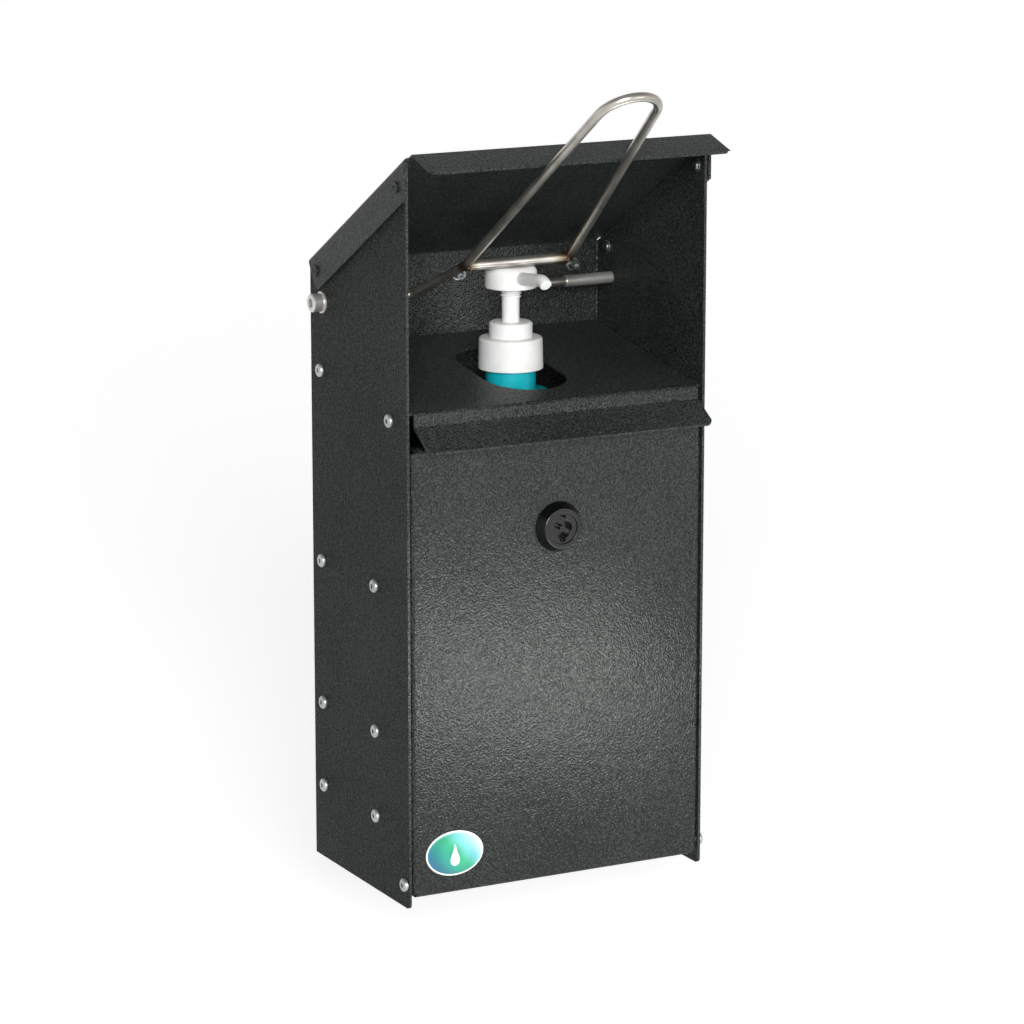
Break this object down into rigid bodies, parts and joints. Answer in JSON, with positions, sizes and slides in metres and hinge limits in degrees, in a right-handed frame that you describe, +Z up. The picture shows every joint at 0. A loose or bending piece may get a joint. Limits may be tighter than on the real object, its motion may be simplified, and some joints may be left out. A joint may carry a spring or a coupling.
{
  "type": "wall-mounted hand sanitizer dispenser with forearm lever",
  "caption": "Wall-mounted metal cabinet with a lockable lower bay for a pump bottle, an open hood above a sloping drip shelf, and a bent wire lever that presses the pump.",
  "frame": {"origin": "on the wall plane, at the middle of the cabinet's width, at the height of the side panels' lower edges", "axes": "+X to the right seen from the front, +Y into the wall, +Z up"},
  "size_m": [0.1944, 0.2295, 0.4437],
  "materials": {
    "powder_coat": "dark grey hammered powder coat, satin",
    "rod_steel": "satin stainless steel",
    "screw_steel": "satin stainless steel screws",
    "zinc_steel": "zinc plated",
    "lock_black": "glossy black",
    "pump_white": "satin white plastic",
    "bottle_teal": "teal translucent look, drawn opaque",
    "spring_steel": "bright spring wire",
    "badge_print": "glossy domed print, plain gradient and drop shape",
    "gasket_grey": "soft grey",
    "steel_ball": "polished steel ball"
  },
  "bodies": {
    "cabinet": {"body_shell": "powder_coat", "floor_pan": "powder_coat", "hood": "powder_coat", "shelf": "powder_coat", "latch_keeper": "powder_coat", "bottle_tray": "powder_coat", "side_screws": "screw_steel", "shelf_nuts": "zinc_steel", "tray_nuts": "zinc_steel", "spare_hole_nuts": "zinc_steel", "hood_screws": "screw_steel", "hood_screw_washers": "screw_steel", "hood_press_nuts": "powder_coat", "wall_screws": "screw_steel", "wall_screw_washers": "screw_steel", "pivot_sleeves": "rod_steel", "pivot_screws": "screw_steel", "pivot_washers": "screw_steel", "bottle": "bottle_teal", "neck_gasket": "gasket_grey", "pump_closure": "pump_white", "pump_collar": "pump_white", "pump_chamber": "pump_white", "inlet_ball": "steel_ball", "dip_tube": "pump_white", "pump_spring": "spring_steel"},
    "plunger": {"pump_stem": "pump_white", "pump_piston": "pump_white"},
    "pump_top": {"pump_head": "pump_white"},
    "lever": {"lever_rod": "rod_steel", "lever_cross_bar": "rod_steel"},
    "door": {"door_panel": "powder_coat", "door_pivot_pins": "screw_steel", "info_badge": "badge_print", "lock_housing": "lock_black", "lock_nut": "lock_black"},
    "lock": {"lock_plug": "lock_black", "lock_cam": "zinc_steel", "cam_screw": "zinc_steel"}
  },
  "joints": [
    {"name": "lever_hinge", "type": "hinge", "parent": "cabinet", "child": "lever", "pos_m": [0, -0.0175, 0.3147], "axis": [1, 0, 0], "range_deg": [0, 12.4]},
    {"name": "pump_press", "type": "slide", "parent": "cabinet", "child": "plunger", "axis": [0, 0, -1], "range_m": [0, 0.0125], "stiffness_N_per_m": 800, "springref_m": -0.006, "deforming": ["pump_spring"]},
    {"name": "pump_head_swivel", "type": "hinge", "parent": "plunger", "child": "pump_top", "pos_m": [0, -0.065, 0.33], "axis": [0, 0, 1], "range_deg": [-70, 70]},
    {"name": "door_hinge", "type": "hinge", "parent": "cabinet", "child": "door", "pos_m": [0, -0.1158, 0.013], "axis": [1, 0, 0], "range_deg": [0, 100]},
    {"name": "lock_turn", "type": "hinge", "parent": "door", "child": "lock", "pos_m": [0, -0.12, 0.2015], "axis": [0, -1, 0], "range_deg": [0, 90]}
  ],
  "couplings": [
    {"joint": "pump_press", "follows": "lever_hinge", "m_per_rad": 0.05743}
  ]
}
